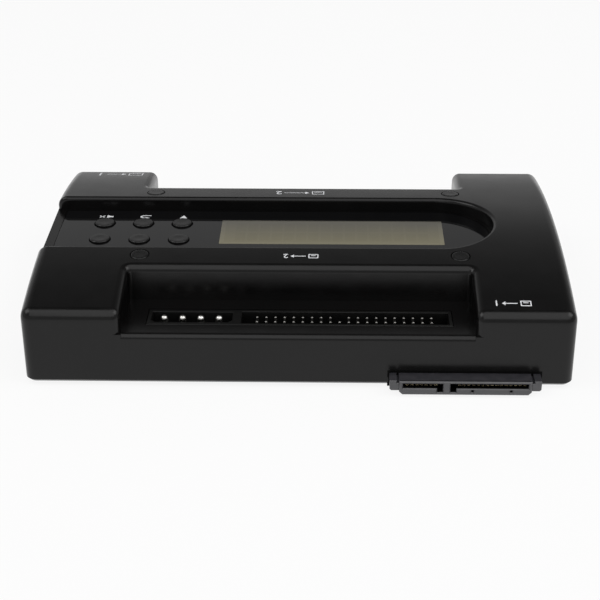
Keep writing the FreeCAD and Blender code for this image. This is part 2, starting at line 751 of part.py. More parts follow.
def make_receptacle(side, turned):
    body = new_body(f"{side}_receptacle")
    left, right = around(serial_centre, "serial_length")
    top = f"({case_bottom} + serial_height)"
    nose = new_sketch(body, "XZ_Plane", serial_front)
    draw_outline(nose, (f"{left} + nose_cut", case_bottom), (f"{right} - nose_cut", case_bottom),
                 (right, f"{case_bottom} + nose_cut"), (right, top), (left, top), (left, f"{case_bottom} + nose_cut"))
    pad(nose, "serial_depth", up=False)
    depth = (f"-{serial_front} + arm_set_back", f"-{serial_front} + serial_depth")
    add_block(body, (*around(serial_centre, "arm_length"), *depth), f"{case_bottom} + arm_bottom",
              "serial_height - arm_bottom")
    back = ("-case_depth / 2 + case_wall + board_clearance", f"-{serial_front} + serial_depth")
    add_block(body, (*around(serial_centre, "arm_length"), *back), f"{case_bottom} + arm_bottom",
              "board_height - arm_bottom")
    slots = new_sketch(body, "XZ_Plane", serial_front)
    low, mid, high = (f"{case_bottom} + {level}" for level in ("slot_key_bottom", "slot_bottom", "slot_top"))
    start, end = f"{serial_centre} - signal_slot_start", f"{serial_centre} - signal_slot_end"
    draw_outline(slots, (start, mid), (f"{end} - slot_key_width", mid), (f"{end} - slot_key_width", low),
                 (end, low), (end, high), (start, high))
    start, end = f"{serial_centre} - power_slot_start", f"{serial_centre} + power_slot_end"
    draw_outline(slots, (start, low), (f"{start} + slot_key_width", low), (f"{start} + slot_key_width", mid),
                 (end, mid), (end, high), (start, high))
    for vent in ("first_vent", "second_vent"):
        draw_polygon(slots, f"{serial_centre} + {vent}", f"{case_bottom} + vent_height", "vent_width")
    cut(slots, "slot_depth", up=False)
    contacts = new_body(f"{side}_contacts")
    strip = (f"-{serial_front} + contact_set_back", f"-{serial_front} + slot_depth")
    for first, count in ((f"{serial_centre} - contact_first_signal", "signal_contacts"),
                         (f"{serial_centre} - contact_first_power", "power_contacts")):
        leaf = add_block(contacts, (*around(first, "contact_width"), *strip), mid, "contact_thickness")
        repeat(contacts, [leaf], "X_Axis", "contact_pitch", count)
    for piece in (body, contacts):
        if turned:
            turn_half_round(piece)


def make_jack():
    jack = new_body("power_jack")
    face = "(case_width / 2 - case_wall - jack_clearance * 2)"
    add_block(jack, (f"{face} - jack_length", face, *around("jack_place", "jack_width")), board_top, "jack_height")
    nose = new_sketch(jack, "YZ_Plane", f"{face} - case_wall")
    draw_circle(nose, "jack_place", jack_level, "jack_nose")
    pad(nose, "case_wall * 2")
    bore = new_sketch(jack, "YZ_Plane", f"{face} + case_wall")
    draw_circle(bore, "jack_place", jack_level, "jack_bore")
    cut(bore, "jack_bore_depth", up=False)
    pin = new_body("power_jack_pin")
    rod = new_sketch(pin, "YZ_Plane", f"{face} + case_wall - jack_bore_depth")
    draw_circle(rod, "jack_place", jack_level, "jack_pin")
    pad(rod, "jack_bore_depth - case_wall / 2")


def make_chips():
    controller = new_body("controller_chip")
    add_block(controller, (*around("0", "controller_size"), *around("0", "controller_size")), board_top,
              "chip_thickness")
    memory = new_body("memory_chips")
    for side in (-1, 1):
        add_block(memory, (*around("-memory_place", "memory_length"),
                           *around(f"{side} * memory_spacing / 2", "memory_width")), board_top, "chip_thickness")
    flash = new_body("flash_chip")
    add_block(flash, (*around("flash_place", "flash_length"), *around("flash_row", "flash_width")), board_top,
              "chip_thickness")
    crystal = new_body("crystal")
    add_block(crystal, (*around("flash_place", "crystal_length"), *around("-flash_row", "crystal_width")),
              board_top, "crystal_height")


def make_power_parts():
    side_wall = "case_width / 2"
    capacitors = new_body("capacitors")
    first = add_posts(capacitors, [(f"{side_wall} - capacitor_inset", "-capacitor_pitch")], "capacitor_diameter",
                      board_top, "capacitor_height")
    repeat(capacitors, [first], "Y_Axis", "capacitor_pitch", "capacitor_count")
    coils = new_body("coils")
    first = add_block(coils, (*around(f"{side_wall} - coil_inset", "coil_size"),
                              *around("-coil_pitch / 2", "coil_size")), board_top, "coil_height")
    repeat(coils, [first], "Y_Axis", "coil_pitch", "coil_count")
    regulators = new_body("regulators")
    first = add_block(regulators, (*around(f"{side_wall} - regulator_inset", "regulator_size"),
                                   *around("-coil_pitch / 2", "regulator_size")), board_top, "regulator_height")
    repeat(regulators, [first], "Y_Axis", "coil_pitch", "coil_count")
    buzzer = new_body("buzzer")
    add_posts(buzzer, [(f"buzzer_inset - {side_wall}", "-buzzer_row")], "buzzer_diameter", board_top,
              "buzzer_height")


def make_board_links():
    height = f"{module_top} - module_board - {board_top}"
    display_link = new_body("display_link")
    add_block(display_link, (*around("display_centre", "display_link_length"),
                             *around("module_width / 2 - link_width", "link_width")), board_top, height)
    key_link = new_body("key_link")
    add_block(key_link, (*around("-key_first + key_pitch", "key_link_length"),
                         *around(key_middle, "link_width")), board_top, height)


make_cover()
make_base()
make_feet()
make_case_screws()
make_panel()
make_display()
make_key_board()
make_keys()
make_small_screws()
make_main_board()
for side, turned in (("source", False), ("destination", True)):
    make_header(side, turned)
    make_receptacle(side, turned)
make_jack()
make_chips()
make_power_parts()
make_board_links()
doc.recompute()

for item in doc.Objects:
    if {"Invalid", "Error"} & set(item.State):
        raise RuntimeError(f"{item.Label}: {item.State}")
for body in nodes:
    if body.Shape.isNull() or not body.Shape.isValid():
        raise RuntimeError(f"{body.Label}: no valid shape")

os.makedirs("parts", exist_ok=True)
for body in nodes:
    body.Shape.exportStep(f"parts/{body.Label}.step")
    print(body.Label, len(body.Shape.Solids), "solids", round(body.Shape.Volume, 1), "mm3")
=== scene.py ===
import bpy
import bmesh
import math
from mathutils import Matrix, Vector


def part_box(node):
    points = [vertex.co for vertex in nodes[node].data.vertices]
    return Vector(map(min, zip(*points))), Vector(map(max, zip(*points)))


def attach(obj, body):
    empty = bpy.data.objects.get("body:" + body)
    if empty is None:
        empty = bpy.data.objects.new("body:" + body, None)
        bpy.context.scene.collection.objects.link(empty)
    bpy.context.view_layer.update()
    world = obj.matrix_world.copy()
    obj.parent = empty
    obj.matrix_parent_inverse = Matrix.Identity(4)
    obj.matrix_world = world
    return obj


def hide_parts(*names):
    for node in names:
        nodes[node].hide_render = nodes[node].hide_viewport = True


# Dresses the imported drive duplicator: a moulded case, a glossy panel with keys and a display, and drive
# connectors.
# Metres. The source side faces -Y, +Z is up, and the panel's round end points to +X.

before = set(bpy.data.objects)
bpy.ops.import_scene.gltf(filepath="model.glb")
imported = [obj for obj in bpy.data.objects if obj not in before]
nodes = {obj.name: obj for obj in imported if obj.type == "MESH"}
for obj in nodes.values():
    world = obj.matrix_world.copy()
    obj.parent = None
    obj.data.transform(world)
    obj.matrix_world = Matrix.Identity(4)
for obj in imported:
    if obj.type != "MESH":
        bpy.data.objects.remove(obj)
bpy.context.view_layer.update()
sides = {"source": 0.0, "destination": math.pi}  # each side's turn about the case's middle


def linearColour(hexText):
    parts = [int(hexText[i:i + 2], 16) / 255 for i in (1, 3, 5)]
    return tuple(p / 12.92 if p <= 0.04045 else ((p + 0.055) / 1.055) ** 2.4 for p in parts) + (1.0,)


def addNode(tree, kind, inputs=None, **settings):
    node = tree.nodes.new(kind)
    for name, value in settings.items():
        setattr(node, name, value)
    for name, value in (inputs or {}).items():
        if isinstance(value, bpy.types.NodeSocket):
            tree.links.new(value, node.inputs[name])
        else:
            node.inputs[name].default_value = value
    return node


# Materials. Object coordinates are metres, so a noise scale of 1000 has features of about a millimetre.
def newMaterial(name, specular=0.5, metallic=0.0):
    material = bpy.data.materials.new(name)
    material.use_nodes = True
    tree = material.node_tree
    shader = tree.nodes["Principled BSDF"]
    shader.inputs["Specular IOR Level"].default_value = specular
    shader.inputs["Metallic"].default_value = metallic
    return material, tree, shader


def noiseOn(tree, scale, detail=2.0, roughness=0.5):
    place = addNode(tree, "ShaderNodeTexCoord")
    return addNode(tree, "ShaderNodeTexNoise", {"Vector": place.outputs["Object"], "Scale": scale,
                                                "Detail": detail, "Roughness": roughness}).outputs["Fac"]


def rangeOf(tree, value, low, high, start=0.3, end=0.7):
    return addNode(tree, "ShaderNodeMapRange", {"Value": value, "From Min": start, "From Max": end,
                                                "To Min": low, "To Max": high}).outputs["Result"]


def mixColours(tree, factor, first, second):
    mix = addNode(tree, "ShaderNodeMix", data_type="RGBA")
    tree.links.new(factor, mix.inputs["Factor"])
    mix.inputs["A"].default_value = linearColour(first)
    mix.inputs["B"].default_value = linearColour(second)
    return mix.outputs["Result"]


def bumpOf(tree, height, distance, under=None):
    bump = addNode(tree, "ShaderNodeBump", {"Height": height, "Distance": distance})
    if under:
        tree.links.new(under, bump.inputs["Normal"])
    return bump.outputs["Normal"]


# Two near colours in slow drifts, a fine grain and an uneven gloss: most of the finishes here.
def grainedFinish(name, look):
    material, tree, shader = newMaterial(name, look.get("specular", 0.5), look.get("metallic", 0.0))
    drift = rangeOf(tree, noiseOn(tree, look["driftScale"], 3.0), 0.0, 1.0)
    gloss = rangeOf(tree, noiseOn(tree, look["glossScale"], 4.0), *look["roughness"])
    grain = noiseOn(tree, look["grainScale"], 3.0, 0.6)
    swell = bumpOf(tree, noiseOn(tree, look["driftScale"] * 2), look.get("swellDepth", 0.0))
    tree.links.new(mixColours(tree, drift, *look["colours"]), shader.inputs["Base Color"])
    tree.links.new(gloss, shader.inputs["Roughness"])
    tree.links.new(bumpOf(tree, grain, look["grainDepth"], swell), shader.inputs["Normal"])
    return material


finishes = {
    # black moulded housing with a spark-eroded satin grain
    "caseSatin": {"colours": ("#040404", "#070606"), "driftScale": 35, "glossScale": 160,
                  "roughness": (0.2, 0.27), "grainScale": 2600, "grainDepth": 0.000006, "specular": 0.32},
    # lid of a screw hole, the same plastic with less grain
    "plugSatin": {"colours": ("#0a0a0a", "#0d0d0d"), "driftScale": 300, "glossScale": 700,
                  "roughness": (0.24, 0.32), "grainScale": 3200, "grainDepth": 0.000005, "specular": 0.3},
    # polycarbonate film printed black from behind
    "panelGloss": {"colours": ("#080809", "#0a0a0b"), "driftScale": 25, "glossScale": 90,
                   "roughness": (0.03, 0.06), "grainScale": 500, "grainDepth": 0.0000004,
                   "swellDepth": 0.00001, "specular": 0.5},
    # moulded key caps, a little duller than the film
    "keySatin": {"colours": ("#0c0c0c", "#100f0f"), "driftScale": 400, "glossScale": 900,
                 "roughness": (0.16, 0.24), "grainScale": 3000, "grainDepth": 0.000004, "specular": 0.45},
    # glass filled nylon of the pin headers
    "headerNylon": {"colours": ("#080808", "#0e0e0d"), "driftScale": 220, "glossScale": 1200,
                    "roughness": (0.3, 0.42), "grainScale": 3600, "grainDepth": 0.000008, "specular": 0.35},
    # blue-black glass filled nylon of the serial receptacles, with a shine and streaks of flow
    "receptacleNylon": {"colours": ("#27272b", "#333236"), "driftScale": 420, "glossScale": 900,
                        "roughness": (0.3, 0.42), "grainScale": 3400, "grainDepth": 0.00001,
                        "specular": 1.0},
    # painted shade: a near-black matte sheet standing in for the shade inside the slots and vents, and in the
    # seam round a receptacle
    "paintedShadeBlack": {"colours": ("#040404", "#060606"), "driftScale": 400, "glossScale": 900,
                    "roughness": (0.7, 0.85), "grainScale": 3000, "grainDepth": 0.00001, "specular": 0.1},
    # gold flash over brass
    "goldFlash": {"colours": ("#d8c79c", "#e8d9b4"), "driftScale": 800, "glossScale": 1500,
                  "roughness": (0.22, 0.36), "grainScale": 5200, "grainDepth": 0.000002, "metallic": 1.0},
    # bright tinned pins
    "brightTin": {"colours": ("#cfcdc8", "#e4e3df"), "driftScale": 600, "glossScale": 1500,
                  "roughness": (0.16, 0.3), "grainScale": 4800, "grainDepth": 0.000002, "metallic": 1.0},
    # duller tin on the signal pins
    "matteTin": {"colours": ("#7d7c79", "#8f8d89"), "driftScale": 600, "glossScale": 1500,
                 "roughness": (0.3, 0.45), "grainScale": 4800, "grainDepth": 0.000002, "metallic": 1.0},
    # soft black rubber
    "footRubber": {"colours": ("#141414", "#1d1c1b"), "driftScale": 300, "glossScale": 900,
                   "roughness": (0.7, 0.85), "grainScale": 3800, "grainDepth": 0.00002, "specular": 0.25},
    # black moulded jack
    "jackNylon": {"colours": ("#0f0f0f", "#141414"), "driftScale": 240, "glossScale": 900,
                  "roughness": (0.28, 0.4), "grainScale": 3600, "grainDepth": 0.000008, "specular": 0.4},
    # screened white ink
    "printedWhite": {"colours": ("#d2d3d6", "#e3e4e6"), "driftScale": 900, "glossScale": 2400,
                     "roughness": (0.45, 0.6), "grainScale": 6000, "grainDepth": 0.000004, "specular": 0.3},
    # solder mask over fibreglass
    "solderMask": {"colours": ("#0c4a26", "#0f5a2e"), "driftScale": 120, "glossScale": 500,
                   "roughness": (0.25, 0.4), "grainScale": 1900, "grainDepth": 0.00001},
    # black stamped steel round the display
    "blackenedSteel": {"colours": ("#17181a", "#222326"), "driftScale": 160, "glossScale": 700,
                       "roughness": (0.35, 0.5), "grainScale": 2800, "grainDepth": 0.000006,
                       "metallic": 0.6},
    # milky acrylic that spreads the display's light
    "milkyAcrylic": {"colours": ("#d9dcd4", "#e6e8e1"), "driftScale": 90, "glossScale": 400,
                     "roughness": (0.2, 0.3), "grainScale": 2600, "grainDepth": 0.000004},
    # moulded switch bodies and board links
    "switchNylon": {"colours": ("#1b1b1c", "#262627"), "driftScale": 260, "glossScale": 900,
                    "roughness": (0.4, 0.55), "grainScale": 3300, "grainDepth": 0.00001},
    # zinc on steel
    "zincSteel": {"colours": ("#b9bbc0", "#cdced2"), "driftScale": 400, "glossScale": 1300,
                  "roughness": (0.25, 0.42), "grainScale": 4200, "grainDepth": 0.000004, "metallic": 1.0},
    # epoxy of the chips
    "chipEpoxy": {"colours": ("#18181a", "#202023"), "driftScale": 240, "glossScale": 1100,
                  "roughness": (0.5, 0.65), "grainScale": 4300, "grainDepth": 0.000012},
    # nickel can of the crystal
    "nickelCan": {"colours": ("#b4b3ae", "#c6c5c0"), "driftScale": 300, "glossScale": 900,
                  "roughness": (0.2, 0.32), "grainScale": 3800, "grainDepth": 0.000003, "metallic": 1.0},
    # bright aluminium cans
    "capacitorCan": {"colours": ("#c9cacc", "#d8d9da"), "driftScale": 300, "glossScale": 900,
                     "roughness": (0.2, 0.34), "grainScale": 3800, "grainDepth": 0.000003, "metallic": 1.0},
    # dark ferrite of the coils
    "coilFerrite": {"colours": ("#26262a", "#333338"), "driftScale": 300, "glossScale": 900,
                    "roughness": (0.5, 0.7), "grainScale": 2900, "grainDepth": 0.00002},
}
materials = {name: grainedFinish(name, look) for name, look in finishes.items()}


# The unlit display: olive liquid crystal under a clear gloss, greyer towards +Y, with a paler border and
# faint rows of cells.
crystal = {"driftScale": 55, "driftDepth": 0.004, "shadeFrom": -0.003, "shadeTo": 0.012, "glossScale": 400,
           "roughness": (0.05, 0.08), "swellScale": 60, "swellDepth": 0.000008}


def displayFinish(name, near, far):
    material, tree, shader = newMaterial(name)
    place = addNode(tree, "ShaderNodeTexCoord")
    depth = addNode(tree, "ShaderNodeSeparateXYZ", {"Vector": place.outputs["Object"]}).outputs["Y"]
    drift = addNode(tree, "ShaderNodeMath", operation="MULTIPLY_ADD")
    tree.links.new(noiseOn(tree, crystal["driftScale"]), drift.inputs[0])
    drift.inputs[1].default_value = crystal["driftDepth"]
    tree.links.new(depth, drift.inputs[2])
    shade = rangeOf(tree, drift.outputs["Value"], 0.0, 1.0, crystal["shadeFrom"], crystal["shadeTo"])
    gloss = rangeOf(tree, noiseOn(tree, crystal["glossScale"]), *crystal["roughness"])
    swell = bumpOf(tree, noiseOn(tree, crystal["swellScale"]), crystal["swellDepth"])
    tree.links.new(mixColours(tree, shade, near, far), shader.inputs["Base Color"])
    tree.links.new(gloss, shader.inputs["Roughness"])
    tree.links.new(swell, shader.inputs["Normal"])
    return material


materials["crystalOlive"] = displayFinish("crystalOlive", "#736e58", "#4f4d48")
materials["crystalBorder"] = displayFinish("crystalBorder", "#77725d", "#54524c")
materials["crystalCell"] = displayFinish("crystalCell", "#706b55", "#4d4b46")
print("materials made:", len(materials))


# Mesh helpers
def newPiece(name, mesh):
    piece = bpy.data.objects.new(name, mesh)
    bpy.context.scene.collection.objects.link(piece)
    return piece


def pieceFromMesh(name, bm, sharpAngle=35):
    bmesh.ops.remove_doubles(bm, verts=bm.verts, dist=1e-7)
    bmesh.ops.recalc_face_normals(bm, faces=bm.faces)
    mesh = bpy.data.meshes.new(name)
    bm.to_mesh(mesh)
    bm.free()
    mesh.shade_smooth()
    mesh.set_sharp_from_angle(angle=math.radians(sharpAngle))
    return newPiece(name, mesh)


# The result of a piece's curve or modifiers as a plain mesh at the origin.
def settled(piece, name, sharpAngle=35):
    bpy.context.view_layer.update()
    evaluated = piece.evaluated_get(bpy.context.evaluated_depsgraph_get())
    mesh = bpy.data.meshes.new_from_object(evaluated)
    mesh.transform(piece.matrix_world)
    bpy.data.objects.remove(piece)
    mesh.name = name
    mesh.shade_smooth()
    mesh.set_sharp_from_angle(angle=math.radians(sharpAngle))
    return newPiece(name, mesh)


def joined(name, *pieces):
    bm = bmesh.new()
    for piece in pieces:
        bm.from_mesh(piece.data)
        bpy.data.objects.remove(piece)
    return pieceFromMesh(name, bm)


def dress(piece, material, slot, *replaced, body="case"):
    piece.data.materials.clear()
    piece.data.materials.append(materials[material])
    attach(piece, body)
    if replaced:
        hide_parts(*replaced)


# The same piece for the other side, turned half round about the case's middle.
def turnedCopy(piece, name, angle):
    mesh = piece.data.copy()
    mesh.name = name
    mesh.transform(Matrix.Rotation(angle, 4, "Z"))
    return newPiece(name, mesh)


def arcPoints(x, y, radius, start, end, steps):
    turns = [math.radians(start + (end - start) * step / steps) for step in range(steps + 1)]
    return [(x + radius * math.cos(turn), y + radius * math.sin(turn)) for turn in turns]


def ringPoints(x, y, radius, steps):
    return arcPoints(x, y, radius, 0, 360 - 360 / steps, steps - 1)


# A solid of revolution about +Z from (radius, height) points, top middle to bottom middle.
def turnedSolid(name, profile, steps=48, sharpAngle=35):
    bm = bmesh.new()
    rings = []
    for radius, height in profile:
        turns = [2 * math.pi * (step + 0.5) / steps for step in range(steps)] if radius > 1e-9 else [0.0]
        rings.append([bm.verts.new((radius * math.cos(turn), radius * math.sin(turn),
                                    height)) for turn in turns])
    for upper, lower in zip(rings, rings[1:]):
        for step in range(steps):
            after = (step + 1) % steps
            corners = [upper[step % len(upper)], lower[step % len(lower)], lower[after % len(lower)],
                       upper[after % len(upper)]]
            bm.faces.new(dict.fromkeys(corners))
    return pieceFromMesh(name, bm, sharpAngle)


def roundedBox(left, right, near, far, radius=0.0, steps=5):
    if not radius:
        return [(left, near), (right, near), (right, far), (left, far)]
    return (arcPoints(left + radius, near + radius, radius, 180, 270, steps)
            + arcPoints(right - radius, near + radius, radius, 270, 360, steps)
            + arcPoints(right - radius, far - radius, radius, 0, 90, steps)
            + arcPoints(left + radius, far - radius, radius, 90, 180, steps))


# A plate with holes between two levels. The outlines are those of its flat faces, inside the rounded rim.
def plateWithHoles(name, outlines, bottom, top, rim=0.0, rimSteps=2):
    curve = bpy.data.curves.new(name, "CURVE")
    curve.dimensions = "2D"
    curve.fill_mode = "BOTH"
    for outline in outlines:
        spline = curve.splines.new("POLY")
        spline.points.add(len(outline) - 1)
        for point, (x, y) in zip(spline.points, outline):
            point.co = (x, y, 0, 1)
        spline.use_cyclic_u = True
    curve.extrude = (top - bottom) / 2 - rim
    curve.bevel_depth = rim
    curve.bevel_resolution = rimSteps
    plate = newPiece(name + "Curve", curve)
    plate.matrix_world = Matrix.Translation((0, 0, (top + bottom) / 2))
    return settled(plate, name)


# Geometry Nodes tree that sets copies of a piece in rows and columns, with one place left out if asked.
def rowsTree():
    tree = bpy.data.node_groups.new("rowsOfPieces", "GeometryNodeTree")
    for label, kind in (("Piece", "NodeSocketObject"), ("Columns", "NodeSocketInt"),
                        ("Rows", "NodeSocketInt"), ("Column pitch", "NodeSocketFloat"),
                        ("Row pitch", "NodeSocketFloat"), ("First place", "NodeSocketVector"),
                        ("Left out", "NodeSocketInt"),
                        ("Crown radius", "NodeSocketFloat"), ("Finish", "NodeSocketMaterial")):
        tree.interface.new_socket(name=label, in_out="INPUT", socket_type=kind)
    tree.interface.new_socket(name="Geometry", in_out="OUTPUT", socket_type="NodeSocketGeometry")
    given = addNode(tree, "NodeGroupInput").outputs

    def maths(operation, first, second):
        node = addNode(tree, "ShaderNodeMath", operation=operation)
        for socket, value in zip(node.inputs, (first, second)):
            if isinstance(value, bpy.types.NodeSocket):
                tree.links.new(value, socket)
            else:
                socket.default_value = value
        return node.outputs["Value"]

    index = addNode(tree, "GeometryNodeInputIndex").outputs["Index"]
    column = maths("FLOOR", maths("DIVIDE", index, given["Rows"]), 0.0)
    row = maths("MODULO", index, given["Rows"])
    step = addNode(tree, "ShaderNodeCombineXYZ", {"X": maths("MULTIPLY", column, given["Column pitch"]),
                                                  "Y": maths("MULTIPLY", row, given["Row pitch"])})
    place = addNode(tree, "ShaderNodeVectorMath", operation="ADD")
    tree.links.new(given["First place"], place.inputs[0])
    tree.links.new(step.outputs["Vector"], place.inputs[1])
    points = addNode(tree, "GeometryNodePoints", {"Count": maths("MULTIPLY", given["Columns"], given["Rows"]),
                                                  "Position": place.outputs["Vector"]})
    leftOut = addNode(tree, "FunctionNodeCompare", data_type="INT", operation="EQUAL")
    tree.links.new(index, leftOut.inputs[2])
    tree.links.new(given["Left out"], leftOut.inputs[3])
    kept = addNode(tree, "GeometryNodeDeleteGeometry", {"Geometry": points.outputs["Points"],
                                                        "Selection": leftOut.outputs["Result"]},
                                                        domain="POINT")
    piece = addNode(tree, "GeometryNodeObjectInfo", {"Object": given["Piece"]})
    copies = addNode(tree, "GeometryNodeInstanceOnPoints", {"Points": kept.outputs["Geometry"],
                                                            "Instance": piece.outputs["Geometry"]})
    solid = addNode(tree, "GeometryNodeRealizeInstances", {"Geometry": copies.outputs["Instances"]})
    # a crown radius above zero lets the copies follow the case's crown across its depth
    where = addNode(tree, "GeometryNodeInputPosition")
    parts = addNode(tree, "ShaderNodeSeparateXYZ", {"Vector": where.outputs["Position"]})
    square = maths("SUBTRACT", maths("MULTIPLY", given["Crown radius"], given["Crown radius"]),
                   maths("MULTIPLY", parts.outputs["Y"], parts.outputs["Y"]))
    drop = maths("SUBTRACT", maths("SQRT", maths("MAXIMUM", square, 0.0), 0.0), given["Crown radius"])
    sink = addNode(tree, "ShaderNodeCombineXYZ", {"Z": drop})
    bent = addNode(tree, "GeometryNodeSetPosition", {"Geometry": solid.outputs["Geometry"],
                                                     "Offset": sink.outputs["Vector"]})
    finished = addNode(tree, "GeometryNodeSetMaterial", {"Geometry": bent.outputs["Geometry"],
                                                         "Material": given["Finish"]})
    addNode(tree, "NodeGroupOutput", {"Geometry": finished.outputs["Geometry"]})
    return tree


rowsOfPieces = rowsTree()


def setInRows(name, piece, finish, sharpAngle=35, **inputs):
    values = {"Piece": piece, "Columns": 1, "Rows": 1, "Column pitch": 0.0, "Row pitch": 0.0,
              "First place": (0.0, 0.0,
                              0.0), "Left out": -1, "Crown radius": 0.0, "Finish": materials[finish]}
    values.update({label.replace("_", " "): value for label, value in inputs.items()})
    holder = newPiece(name + "Holder", bpy.data.meshes.new(name + "Holder"))
    rows = holder.modifiers.new("rows", "NODES")
    rows.node_group = rowsOfPieces
    for socket in rowsOfPieces.interface.items_tree:
        if socket.in_out == "INPUT":
            rows[socket.identifier] = values[socket.name]
    copies = settled(holder, name, sharpAngle)
    bpy.data.objects.remove(piece)
    return copies


# Case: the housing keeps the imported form. The crown is an arc across the case's depth.
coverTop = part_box("top_cover")[1].z
crown = {"radius": 0.2195}


def crownHeight(y):
    return coverTop - crown["radius"] + math.sqrt(crown["radius"] ** 2 - y ** 2)


plug = {"radius": 0.00255, "edge": 0.0004, "proud": 0.00014, "depth": 0.0006, "dish": 0.00006,
        "dishShare": 0.6}


def makePlugs():
    low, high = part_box("screw_plugs")
    radius = plug["radius"]
    top = plug["proud"]
    profile = ([(0, top - plug["dish"]), (radius * plug["dishShare"], top - plug["dish"] * plug["dishShare"])]
               + arcPoints(radius - plug["edge"], top - plug["edge"], plug["edge"], 90, 0, 5)
               + [(radius, -plug["depth"]), (0, -plug["depth"])])
    lid = turnedSolid("plugLid", profile)
    first = (low.x + radius, low.y + radius, coverTop)
    plugs = setInRows("screwLids", lid, "plugSatin", Columns=2, Rows=2, Column_pitch=-2 * first[0],
                      Row_pitch=-2 * first[1], First_place=first, Crown_radius=crown["radius"])
    dress(plugs, "plugSatin", "plug_plastic", "screw_plugs")


makePlugs()

foot = {"radius": 0.0045, "edge": 0.0004, "groove": 0.00015, "grooveShares": (0.62, 0.58, 0.5, 0.46)}


def makeFeet():
    low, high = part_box("rubber_feet")
    radius = foot["radius"]
    edge = foot["edge"]
    depths = (0, foot["groove"], foot["groove"], 0)
    groove = [(radius * share, depth) for share, depth in zip(foot["grooveShares"], depths)]
    profile = ([(0, high.z), (radius, high.z)] + arcPoints(radius - edge, edge, edge, 0, -90, 4)
               + groove + [(0, 0)])
    pad = turnedSolid("footPad", profile)
    first = (low.x + radius, low.y + radius, 0.0)
    feet = setInRows("rubberFeet", pad, "footRubber", Columns=2, Rows=2, Column_pitch=-2 * first[0],
                     Row_pitch=-2 * first[1], First_place=first)
    dress(feet, "footRubber", "foot_rubber", "rubber_feet")


makeFeet()
print("case, plugs and feet made")

# Panel: a printed film with a rounded rim, round key openings and the display's clear window.
panel = {"rim": 0.00012, "keyGap": 0.00025, "roundSteps": 48}
keyNames = [f"key_{count}" for count in range(1, 7)]


def keyMiddle(name):
    low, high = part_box(name)
    return (low + high) / 2


def makePanel():
    low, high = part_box("panel_overlay")
    rim = panel["rim"]
    half = high.y - rim
    centre = high.x - high.y
    outline = ([(low.x + rim, half), (low.x + rim, -half)]
               + arcPoints(centre, 0, half, -90, 90, panel["roundSteps"]))
    opening = key["radius"] + panel["keyGap"] + rim
    holes = [ringPoints(keyMiddle(name).x, keyMiddle(name).y, opening,
                        panel["roundSteps"]) for name in keyNames]
    film = plateWithHoles("panelFilm", [outline] + holes, low.z, high.z, rim)
    dress(film, "panelGloss", "panel_gloss", "panel_overlay")


display = {"lift": 0.000012, "nearMask": 0.0022, "farReach": 0.00035, "border": 0.0013, "corner": 0.0003,
           "columns": 16, "rows": 2,
           "cellWidth": 0.0030, "cellHeight": 0.0052, "columnPitch": 0.00362, "rowPitch": 0.0062}


def makeDisplay():
    low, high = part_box("display_window")
    low.y += display["nearMask"]
    high.y += display["farReach"]
    top = high.z + display["lift"]
    band = display["border"]
    frameOutline = roundedBox(low.x, high.x, low.y, high.y, display["corner"])
    inside = roundedBox(low.x + band, high.x - band, low.y + band, high.y - band, display["corner"])
    border = plateWithHoles("displayBorder", [frameOutline, inside], high.z - display["lift"], top)
    dress(border, "crystalBorder", "display_glass", "display_window")
    cell = plateWithHoles("displayField", [inside], high.z - display["lift"], top)
    dress(cell, "crystalOlive", "display_glass")
    mark = plateWithHoles("cellMark", [roundedBox(0, display["cellWidth"], 0, display["cellHeight"])],
                          top - display["lift"], top + display["lift"] / 4)
    wide = display["columnPitch"] * (display["columns"] - 1) + display["cellWidth"]
    deep = display["rowPitch"] * (display["rows"] - 1) + display["cellHeight"]
    middle = (low + high) / 2
    cells = setInRows("displayCells", mark, "crystalCell", Columns=display["columns"], Rows=display["rows"],
                      Column_pitch=display["columnPitch"], Row_pitch=display["rowPitch"],
                      First_place=(middle.x - wide / 2, middle.y - deep / 2, 0.0))
    dress(cells, "crystalCell", "display_glass")


key = {"radius": 0.00295, "shoulder": 0.00032, "dish": 0.00008, "dishReach": 0.45, "dishRise": 0.75,
       "flange": 0.0008}


def makeKeys():
    for name in keyNames:
        low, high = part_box(name)
        middle = keyMiddle(name)
        radius = key["radius"]
        shoulder = key["shoulder"]
        flange = (high.x - low.x) / 2
        profile = ([(0, high.z - key["dish"]),
                    (radius * key["dishReach"], high.z - key["dish"] * key["dishRise"])]
                   + arcPoints(radius - shoulder, high.z - shoulder, shoulder, 90, 0, 6)
                   + [(radius, low.z + key["flange"]), (flange, low.z + key["flange"]), (flange, low.z),
                      (0, low.z)])
        cap = turnedSolid("keyCap", profile)
        placed = setInRows(name.replace("key_", "keyCap"), cap, "keySatin",
                           First_place=(middle.x, middle.y, 0.0))
        dress(placed, "keySatin", "key_plastic", name, body=name + "_body")


makePanel()
makeDisplay()
makeKeys()
print("panel, display and keys made")

# Headers: a walled box for the flat cable and the power lead, with its pins, on each side.
header = {"wallRim": 0.00015, "floor": 0.0026, "signalLeft": 0.0158, "signalRight": 0.0415,
          "signalNear": 0.0416, "signalFar": 0.0350, "powerLeft": 0.0407, "powerRight": 0.0183,
          "powerNear": 0.0411, "powerFar": 0.0353, "powerCorner": 0.0013}


